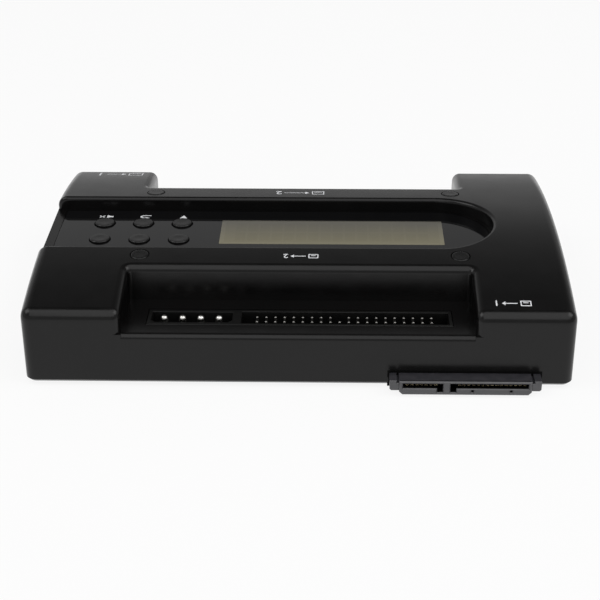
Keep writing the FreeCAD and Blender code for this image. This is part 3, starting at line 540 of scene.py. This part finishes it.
def makeHeaders():
    low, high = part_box("source_header")
    rim = header["wallRim"]
    outline = roundedBox(low.x + rim, high.x - rim, low.y + rim, high.y - rim)
    signal = roundedBox(-header["signalLeft"] - rim, header["signalRight"] + rim,
                        -header["signalNear"] - rim, -header["signalFar"] + rim)
    left, right = -header["powerLeft"] - rim, -header["powerRight"] + rim
    near, far, corner = -header["powerNear"] - rim, -header["powerFar"] + rim, header["powerCorner"]
    power = [(left + corner, near), (right - corner, near), (right, near + corner), (right, far), (left, far),
             (left, near + corner)]
    floor = low.z + header["floor"]
    walls = plateWithHoles("headerWalls", [outline, signal, power], floor, high.z, rim)
    slab = plateWithHoles("headerFloor", [roundedBox(low.x, high.x, low.y, high.y)], low.z, floor)
    shell = joined("headerShell", walls, slab)
    for side, angle in sides.items():
        dress(turnedCopy(shell, side + "Header", angle), "headerNylon", "header_plastic", side + "_header")
    bpy.data.objects.remove(shell)


pin = {"width": 0.00064, "pitch": 0.00254, "chamfer": 0.0002, "columns": 20, "rows": 2, "leftOut": 19,
       "powerRadius": 0.00105, "powerPitch": 0.00508, "powerProud": 0.0006}


def makePins():
    low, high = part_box("source_signal_pins")
    corner = math.sqrt(0.5)
    half, tip = pin["width"] * corner, (pin["width"] - 2 * pin["chamfer"]) * corner
    profile = [(0, high.z), (tip, high.z), (half, high.z - pin["chamfer"]), (half, low.z), (0, low.z)]
    post = turnedSolid("signalPost", profile, 4, 20)
    signal = setInRows("signalPins", post, "matteTin", 20, Columns=pin["columns"], Rows=pin["rows"],
                       Column_pitch=pin["pitch"], Row_pitch=pin["pitch"], Left_out=pin["leftOut"],
                       First_place=(low.x + pin["width"] / 2, low.y + pin["width"] / 2, 0.0))
    low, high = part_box("source_power_pins")
    radius, top = pin["powerRadius"], high.z + pin["powerProud"]
    profile = arcPoints(0, top - radius, radius, 90, 0, 8) + [(radius, low.z), (0, low.z)]
    post = turnedSolid("powerPost", profile, 32)
    power = setInRows("powerPins", post, "brightTin", Columns=4, Column_pitch=pin["powerPitch"],
                      First_place=(low.x + radius, low.y + radius, 0.0))
    for side, angle in sides.items():
        dress(turnedCopy(signal, side + "SignalPins", angle), "matteTin", "gold_pin", side + "_signal_pins")
        dress(turnedCopy(power, side + "PowerPins", angle), "brightTin", "tin_pin", side + "_power_pins")
    bpy.data.objects.remove(signal)
    bpy.data.objects.remove(power)


makeHeaders()
makePins()
print("headers and pins made")

# Serial drive receptacles: a nose with two keyed slots between set-back wings, and leaf contacts.
receptacle = {"drop": 0.0003, "noseHeight": 0.0042, "chamfer": 0.00012, "lip": 0.00028, "lipDepth": 0.0008,
              "cornerCut": 0.001, "slotDepth": 0.006, "slotLow": 0.0020, "slotHigh": 0.0034, "slotKey": 0.0008,
              "keyWidth": 0.0016, "signalSlot": (0.0286, 0.0395), "powerSlot": (0.0415, 0.0627),
              "noseLeft": 0.0276, "noseRight": 0.0636, "ventPlaces": (0.0475, 0.0580), "ventHeight": 0.0012,
              "ventRadius": 0.0006, "wingBack": 0.0005, "wingBottom": 0.0011, "wingCut": 0.0005,
              "wingSpread": 0.0002, "wingOverlap": 0.0001, "grooveWidth": 0.0007, "grooveDepth": 0.0009,
              "liner": 0.00004, "seamFront": -0.04877, "seamWidth": 0.0007, "seamDepth": 0.0006}


# Stands a plate, drawn as seen from the front, upright: its thickness then runs back from the front plane.
def stoodUp(plate, front):
    plate.data.transform(Matrix.Translation((0, front, 0)) @ Matrix.Rotation(math.pi / 2, 4, "X"))
    return plate


# The outline of a slot with its leg: a tall key at one end, as seen from the front.
def slotOutline(start, end, legAtEnd, base, grow):
    slotLow, slotHigh, slotKey = (base + receptacle[part] for part in ("slotLow", "slotHigh", "slotKey"))
    leg = receptacle["keyWidth"]
    if legAtEnd:
        return [(start - grow, slotLow - grow), (end - leg - grow, slotLow - grow),
                (end - leg - grow, slotKey - grow),
                (end + grow, slotKey - grow), (end + grow, slotHigh + grow), (start - grow, slotHigh + grow)]
    return [(start - grow, slotKey - grow), (start + leg + grow, slotKey - grow),
            (start + leg + grow, slotLow - grow),
            (end + grow, slotLow - grow), (end + grow, slotHigh + grow), (start - grow, slotHigh + grow)]


def makeReceptacles():
    low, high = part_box("source_receptacle")
    base, back, front = low.z - receptacle["drop"], high.y, low.y
    top = base + receptacle["noseHeight"]
    left, right = receptacle["noseLeft"], receptacle["noseRight"]
    cut = receptacle["cornerCut"]
    layers = []
    levels = ((0, receptacle["lipDepth"], receptacle["lip"]),
              (receptacle["lipDepth"], receptacle["slotDepth"], 0.0),
              (receptacle["slotDepth"], back - front, 0.0))
    for level, (start, end, rim) in enumerate(levels):
        nose = [(left + cut, base + rim), (right - cut, base + rim), (right - rim, base + cut),
                (right - rim, top - rim), (left + rim, top - rim), (left + rim, base + cut)]
        slots = [slotOutline(*receptacle["signalSlot"], True, base, rim),
                 slotOutline(*receptacle["powerSlot"], False, base, rim)]
        vents = [ringPoints(x, base + receptacle["ventHeight"], receptacle["ventRadius"] + rim / 4, 8)
                 for x in receptacle["ventPlaces"]]
        holes = slots + vents if level < 2 else []
        plate = plateWithHoles("receptacleLayer", [nose] + holes, -end, -start, rim, 0)
        layers.append(stoodUp(plate, front))
    spread, groove = receptacle["wingSpread"], receptacle["grooveWidth"]
    bottom, depth = base + receptacle["wingBottom"], top - receptacle["grooveDepth"]
    chamfer = receptacle["chamfer"]
    overlap = receptacle["wingOverlap"]
    for outer, inner in ((low.x - spread, left - overlap), (high.x + spread, right + overlap)):
        way = 1 if inner > outer else -1
        wing = [(outer + way * chamfer, bottom + receptacle["wingCut"]),
                (outer + way * receptacle["wingCut"], bottom + chamfer), (inner, bottom + chamfer),
                (inner, depth),
                (inner - way * groove, depth), (inner - way * groove, top - chamfer),
                (outer + way * chamfer, top - chamfer)]
        plate = plateWithHoles("receptacleWing", [wing], front - back, -receptacle["wingBack"], chamfer, 0)
        layers.append(stoodUp(plate, front))
    body = joined("receptacleBody", *layers)
    # Painted shade: near-black sheets line the slots behind the lip and close their ends. Others fill the
    # vents and sit in the seam round the receptacle, just behind the case front, where shade falls.
    liner, seam = receptacle["liner"], receptacle["seamWidth"]
    lipDepth, slotDepth = receptacle["lipDepth"], receptacle["slotDepth"]
    inside = []
    for slot, legAtEnd in (("signalSlot", True), ("powerSlot", False)):
        outer = slotOutline(*receptacle[slot], legAtEnd, base, liner)
        inner = slotOutline(*receptacle[slot], legAtEnd, base, -liner)
        inside.append(plateWithHoles("slotLiner", [outer, inner], -slotDepth, -lipDepth / 2))
        inside.append(plateWithHoles("slotEnd", [outer], -slotDepth - liner, -slotDepth + liner))
    for x in receptacle["ventPlaces"]:
        vent = ringPoints(x, base + receptacle["ventHeight"], receptacle["ventRadius"] + liner, 24)
        inside.append(plateWithHoles("ventEnd", [vent], -slotDepth, -receptacle["lip"]))
    inside = [stoodUp(piece, front) for piece in inside]
    rim = plateWithHoles("receptacleSeam", [roundedBox(low.x - seam, high.x + seam, base, high.z + seam / 2)],
                         -receptacle["seamDepth"], 0)
    inside.append(stoodUp(rim, receptacle["seamFront"]))
    inside = joined("receptacleInside", *inside)
    for side, angle in sides.items():
        dress(turnedCopy(body, side + "Receptacle", angle), "receptacleNylon", "receptacle_plastic",
              side + "_receptacle")
        dress(turnedCopy(inside, side + "ReceptacleInside", angle), "paintedShadeBlack", "receptacle_plastic")
    bpy.data.objects.remove(body)
    bpy.data.objects.remove(inside)


contact = {"width": 0.0008, "setBack": 0.0009, "thickness": 0.00022, "bow": 0.00022, "bowSpeed": 1.6,
           "pitch": 0.00127, "steps": 8,
           "signalCount": 7, "powerCount": 15, "firstSignal": 0.0299, "firstPower": 0.0440}


# A leaf that rises to a bow near its free end, as a spring contact does.
def leafContact(low, high):
    start = low.y + contact["setBack"]
    length = high.y - start
    path = []
    for step in range(contact["steps"] + 1):
        along = step / contact["steps"]
        path.append((along, contact["bow"] * math.sin(math.pi * min(1, contact["bowSpeed"] * (1 - along)))))
    bm = bmesh.new()
    half = contact["width"] / 2
    rings = []
    for along, rise in path:
        y, z = start + length * along, low.z + rise
        rings.append([bm.verts.new(corner) for corner in ((-half, y, z), (half, y, z),
                                                          (half, y, z + contact["thickness"]),
                                                          (-half, y, z + contact["thickness"]))])
    for before, after in zip(rings, rings[1:]):
        for corner in range(4):
            following = (corner + 1) % 4
            bm.faces.new((before[corner], before[following], after[following], after[corner]))
    bm.faces.new(rings[0])
    bm.faces.new(rings[-1])
    return pieceFromMesh("leafContact", bm, 30)


def makeContacts():
    low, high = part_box("source_contacts")
    groups = []
    for count, first in ((contact["signalCount"], contact["firstSignal"]),
                         (contact["powerCount"], contact["firstPower"])):
        groups.append(setInRows("contactRow", leafContact(low, high), "goldFlash", 30, Columns=count,
                                Column_pitch=contact["pitch"], First_place=(first, 0.0, 0.0)))
    rows = joined("contactRows", *groups)
    for side, angle in sides.items():
        dress(turnedCopy(rows, side + "Contacts", angle), "goldFlash", "gold_pin", side + "_contacts")
    bpy.data.objects.remove(rows)


makeReceptacles()
makeContacts()
print("receptacles and contacts made")

# Printing: generic pictograms and numbers, read from the destination side like the rest of the panel.
ink = {"thickness": 0.00002, "line": 0.00032, "digitWeight": 0.012}
# shares of a port mark's height, and gaps in line widths
portSign = {"drive": 1.35, "slotIn": 2.4, "slotUp": 2, "tailGap": 2.5, "headReach": 0.45, "headSpread": 0.36,
            "digit": 1.42, "digitIn": 0.35}


def inkPolygon(bm, points, bottom=0.0):
    lower = [bm.verts.new((x, y, bottom)) for x, y in points]
    upper = [bm.verts.new((x, y, bottom + ink["thickness"])) for x, y in points]
    bm.faces.new(lower)
    bm.faces.new(upper)
    for step in range(len(points)):
        after = (step + 1) % len(points)
        bm.faces.new((lower[step], lower[after], upper[after], upper[step]))


def inkBox(bm, left, right, near, far):
    inkPolygon(bm, [(left, near), (right, near), (right, far), (left, far)])


def inkDigit(text, size, place):
    curve = bpy.data.curves.new("digit", "FONT")
    curve.body = text
    curve.size = size
    curve.offset = size * ink["digitWeight"]
    curve.extrude = ink["thickness"] / 2
    curve.resolution_u = 4
    curve.align_x = "CENTER"
    digit = settled(newPiece("digitText", curve), "digitMesh")
    digit.data.transform(Matrix.Translation((place[0], place[1], ink["thickness"] / 2)))
    return digit


# A drive, an arrow into it or out of it, and the port's number, in a row about its middle.
def portMark(number, outwards, length, height):
    bm = bmesh.new()
    line = ink["line"]
    half = height / 2
    drive = height * portSign["drive"]
    slotIn, slotUp = line * portSign["slotIn"], line * portSign["slotUp"]
    start = -length / 2
    inkBox(bm, start, start + drive, half - line, half)
    inkBox(bm, start, start + drive, -half, -half + line)
    inkBox(bm, start, start + line, -half, half)
    inkBox(bm, start + drive - line, start + drive, -half, half)
    inkBox(bm, start + slotIn, start + drive - slotIn, -half + slotUp, -half + slotUp + line)
    tail, point = start + drive + line * portSign["tailGap"], length / 2 - height
    if outwards:
        tail, point = point, tail
    reach = height * portSign["headReach"] * (1 if point > tail else -1)
    spread = height * portSign["headSpread"]
    inkBox(bm, min(tail, point - reach), max(tail, point - reach), -line / 2, line / 2)
    inkPolygon(bm, [(point, 0), (point - reach, spread), (point - reach, -spread)])
    sign = pieceFromMesh("portSign", bm)
    digit = inkDigit(number, height * portSign["digit"], (length / 2 - height * portSign["digitIn"], -half))
    return joined("portMark", sign, digit)


# Turns a mark to be read from +Y, and lays it on the crown.
def layOnCrown(piece, x, y):
    piece.data.transform(Matrix.Translation((x, y, 0)) @ Matrix.Rotation(math.pi, 4, "Z"))
    for vertex in piece.data.vertices:
        vertex.co.z += crownHeight(vertex.co.y)
    return piece


ports = {
    "sourceSerial": {"number": "1", "outwards": False, "at": (0.0580, -0.0432), "length": 0.0102,
                     "height": 0.0022},
    "sourceFlat": {"number": "2", "outwards": False, "at": (0.0003, -0.0219), "length": 0.0100,
                   "height": 0.0021},
    "destinationFlat": {"number": "2", "outwards": True, "at": (-0.0009, 0.0217), "length": 0.0150,
                        "height": 0.0028},
    "destinationSerial": {"number": "1", "outwards": True, "at": (-0.0598, 0.0426), "length": 0.0150,
                          "height": 0.0034},
}


def makePortMarks():
    for name, port in ports.items():
        mark = portMark(port["number"], port["outwards"], port["length"], port["height"])
        layOnCrown(mark, *port["at"])
        mark.name = name + "Mark"
        dress(mark, "printedWhite", "case_plastic")


legend = {"height": 0.0028, "line": 0.00040, "beyond": 0.0048, "stretch": 1.35}


# A crossed-out sounder, a turn-back arrow and a triangle beyond the far row of keys, drawn in shares of size,
# which is half the legend's height.
def soundOff(bm, size):
    inkPolygon(bm, [(-size, -size * 0.3), (-size * 0.45, -size * 0.3), (0, -size * 0.75), (0, size * 0.75),
                    (-size * 0.45, size * 0.3), (-size, size * 0.3)])
    for lean in (-1, 1):
        inkPolygon(bm, [(size * 0.35, -lean * size * 0.42 - legend["line"] / 2),
                        (size * 1.2, lean * size * 0.42 - legend["line"] / 2),
                        (size * 1.2, lean * size * 0.42 + legend["line"] / 2),
                        (size * 0.35, -lean * size * 0.42 + legend["line"] / 2)])


def turnBack(bm, size):
    outer = arcPoints(0.1 * size, 0, size * 0.72, -90, 110, 14)
    inner = arcPoints(0.1 * size, 0, size * 0.42, 110, -90, 14)
    inkPolygon(bm, outer + inner)
    inkBox(bm, -size * 0.9, size * 0.1, -size * 0.72, -size * 0.42)
    inkPolygon(bm, [(-size * 0.75, size * 0.57), (size * 0.0, size * 1.0), (size * 0.0, size * 0.14)])


def awayTriangle(bm, size):
    inkPolygon(bm, [(-size * 0.6, size * 0.7), (0, -size * 0.8), (size * 0.6, size * 0.7)])


def makeLegends():
    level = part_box("panel_overlay")[1].z
    for draw, name in ((soundOff, "key_1"), (turnBack, "key_2"), (awayTriangle, "key_3")):
        bm = bmesh.new()
        draw(bm, legend["height"] / 2)
        sign = pieceFromMesh(draw.__name__ + "Legend", bm)
        place = keyMiddle(name)
        sign.data.transform(Matrix.Translation((place.x, place.y + legend["beyond"], level))
                            @ Matrix.Rotation(math.pi, 4, "Z")
                            @ Matrix.Scale(legend["stretch"], 4, (1, 0, 0)))
        dress(sign, "printedWhite", "panel_gloss")


makePortMarks()
makeLegends()
print("printing made")

# Carried nodes take the finish of what they are made of.
carried = {
    "caseSatin": ["top_cover", "base_plate"],
    "zincSteel": ["case_screws", "board_screws"],
    "solderMask": ["display_board", "key_board", "main_board"],
    "blackenedSteel": ["display_bezel"],
    "milkyAcrylic": ["light_guide"],
    "crystalOlive": ["display_glass"],
    "switchNylon": ["key_switches", "buzzer", "display_link", "key_link"]
                   + [f"key_plunger_{count}" for count in range(1, 7)],
    "jackNylon": ["power_jack"],
    "brightTin": ["power_jack_pin"],
    "chipEpoxy": ["controller_chip", "memory_chips", "flash_chip", "regulators"],
    "nickelCan": ["crystal"],
    "capacitorCan": ["capacitors"],
    "coilFerrite": ["coils"],
}
for material, names in carried.items():
    for name in names:
        for materialSlot in nodes[name].material_slots:
            materialSlot.material = materials[material]
print("carried nodes finished")


# Stage: a pale floor that shows white, soft light from above and a pale horizon. The room's greys stand at
# the sine of their height above the horizon, and lean from -X to +X.
stage = {"floorHalf": 2.0, "shadowShare": 0.12,
         "room": ((0.0, 0.5), (0.11, 0.38), (0.29, 0.64), (0.475, 0.25), (0.63, 0.22), (0.76, 0.14),
                  (1.0, 0.1)),
         "roomLean": 0.15, "leanReach": 0.3, "paint": 0.85}
# each softbox faces the case from its own side, in degrees round from the front and up from the floor
softboxes = {
    "frontSoftbox": {"turn": 14, "up": 62, "away": 1.1, "size": 1.3, "glow": 1.35},
    "leftSoftbox": {"turn": -80, "up": 48, "away": 1.1, "size": 0.6, "glow": 2.6},
    "rightSoftbox": {"turn": 80, "up": 48, "away": 1.1, "size": 0.6, "glow": 2.6},
}


def makeFloor():
    bm = bmesh.new()
    bmesh.ops.create_grid(bm, x_segments=1, y_segments=1, size=stage["floorHalf"])
    mesh = bpy.data.meshes.new("floor")
    bm.to_mesh(mesh)
    bm.free()
    floor = newPiece("floor", mesh)
    material = bpy.data.materials.new("paleFloor")
    material.use_nodes = True
    tree = material.node_tree
    tree.nodes.clear()
    path = addNode(tree, "ShaderNodeLightPath").outputs
    seen = addNode(tree, "ShaderNodeMath", operation="MAXIMUM")
    tree.links.new(path["Is Camera Ray"], seen.inputs[0])
    tree.links.new(path["Is Glossy Ray"], seen.inputs[1])
    through = addNode(tree, "ShaderNodeMath", operation="MAXIMUM")
    tree.links.new(seen.outputs["Value"], through.inputs[0])
    tree.links.new(path["Is Transmission Ray"], through.inputs[1])
    share = addNode(tree, "ShaderNodeMath", operation="MULTIPLY")
    tree.links.new(through.outputs["Value"], share.inputs[0])
    share.inputs[1].default_value = 1 - stage["shadowShare"]
    paint = addNode(tree, "ShaderNodeBsdfDiffuse", {"Color": (stage["paint"],) * 3 + (1,)})
    glow = addNode(tree, "ShaderNodeEmission", {"Color": (1, 1, 1, 1), "Strength": 1.0})
    mix = addNode(tree, "ShaderNodeMixShader", {"Fac": share.outputs["Value"]})
    tree.links.new(paint.outputs["BSDF"], mix.inputs[1])
    tree.links.new(glow.outputs["Emission"], mix.inputs[2])
    addNode(tree, "ShaderNodeOutputMaterial", {"Surface": mix.outputs["Shader"]})
    mesh.materials.append(material)


def makeWorld():
    world = bpy.data.worlds.new("paleRoom")
    bpy.context.scene.world = world
    world.use_nodes = True
    tree = world.node_tree
    tree.nodes.clear()
    way = addNode(tree, "ShaderNodeTexCoord")
    axes = addNode(tree, "ShaderNodeSeparateXYZ", {"Vector": way.outputs["Generated"]}).outputs
    ramp = addNode(tree, "ShaderNodeValToRGB", {"Fac": axes["Z"]})
    lean = addNode(tree, "ShaderNodeMapRange", {"Value": axes["X"], "From Min": -stage["leanReach"],
                                                "From Max": stage["leanReach"],
                                                "To Min": 1 + stage["roomLean"],
                                                "To Max": 1 - stage["roomLean"]})
    ramp.color_ramp.interpolation = "B_SPLINE"
    elements = ramp.color_ramp.elements
    for place, grey in stage["room"]:
        element = elements[0] if place == 0.0 else elements[-1] if place == 1.0 else elements.new(place)
        element.color = (grey, grey, grey, 1)
    path = addNode(tree, "ShaderNodeLightPath").outputs
    room = addNode(tree, "ShaderNodeBackground",
                   {"Color": ramp.outputs["Color"], "Strength": lean.outputs["Result"]})
    white = addNode(tree, "ShaderNodeBackground", {"Color": (1, 1, 1, 1), "Strength": 1.0})
    mix = addNode(tree, "ShaderNodeMixShader", {"Fac": path["Is Camera Ray"]})
    tree.links.new(room.outputs["Background"], mix.inputs[1])
    tree.links.new(white.outputs["Background"], mix.inputs[2])
    addNode(tree, "ShaderNodeOutputWorld", {"Surface": mix.outputs["Shader"]})


def makeSoftboxes():
    for name, box in softboxes.items():
        lamp = bpy.data.lights.new(name, "AREA")
        lamp.shape = "SQUARE"
        lamp.size = box["size"]
        lamp.energy = box["glow"] * math.pi * box["size"] ** 2
        softbox = bpy.data.objects.new(name, lamp)
        softbox.matrix_world = (Matrix.Rotation(math.radians(box["turn"]), 4, "Z")
                                @ Matrix.Rotation(math.radians(90 - box["up"]), 4, "X")
                                @ Matrix.Translation((0, 0, box["away"])))
        bpy.context.scene.collection.objects.link(softbox)


# The eye is 384 mm in front of the case and 209 mm up, looking 28.4 degrees down.
eye = {"place": (0.00906, -0.38375, 0.20882), "down": 28.44, "turn": 1.431, "roll": -0.307, "lens": 85.83,
       "sensor": 36, "nearest": 0.01}


def makeCamera():
    camera = bpy.data.objects.new("camera", bpy.data.cameras.new("camera"))
    camera.data.lens = eye["lens"]
    camera.data.sensor_width = eye["sensor"]
    camera.data.clip_start = eye["nearest"]
    turn = (Matrix.Rotation(math.radians(eye["turn"]), 4, "Z")
            @ Matrix.Rotation(math.radians(90 - eye["down"]), 4, "X")
            @ Matrix.Rotation(math.radians(eye["roll"]), 4, "Z"))
    camera.matrix_world = Matrix.Translation(eye["place"]) @ turn
    bpy.context.scene.collection.objects.link(camera)
    bpy.context.scene.camera = camera


makeFloor()
makeWorld()
makeSoftboxes()
makeCamera()
bpy.context.scene.view_settings.view_transform = "Standard"
print("stage made")

bpy.context.view_layer.update()
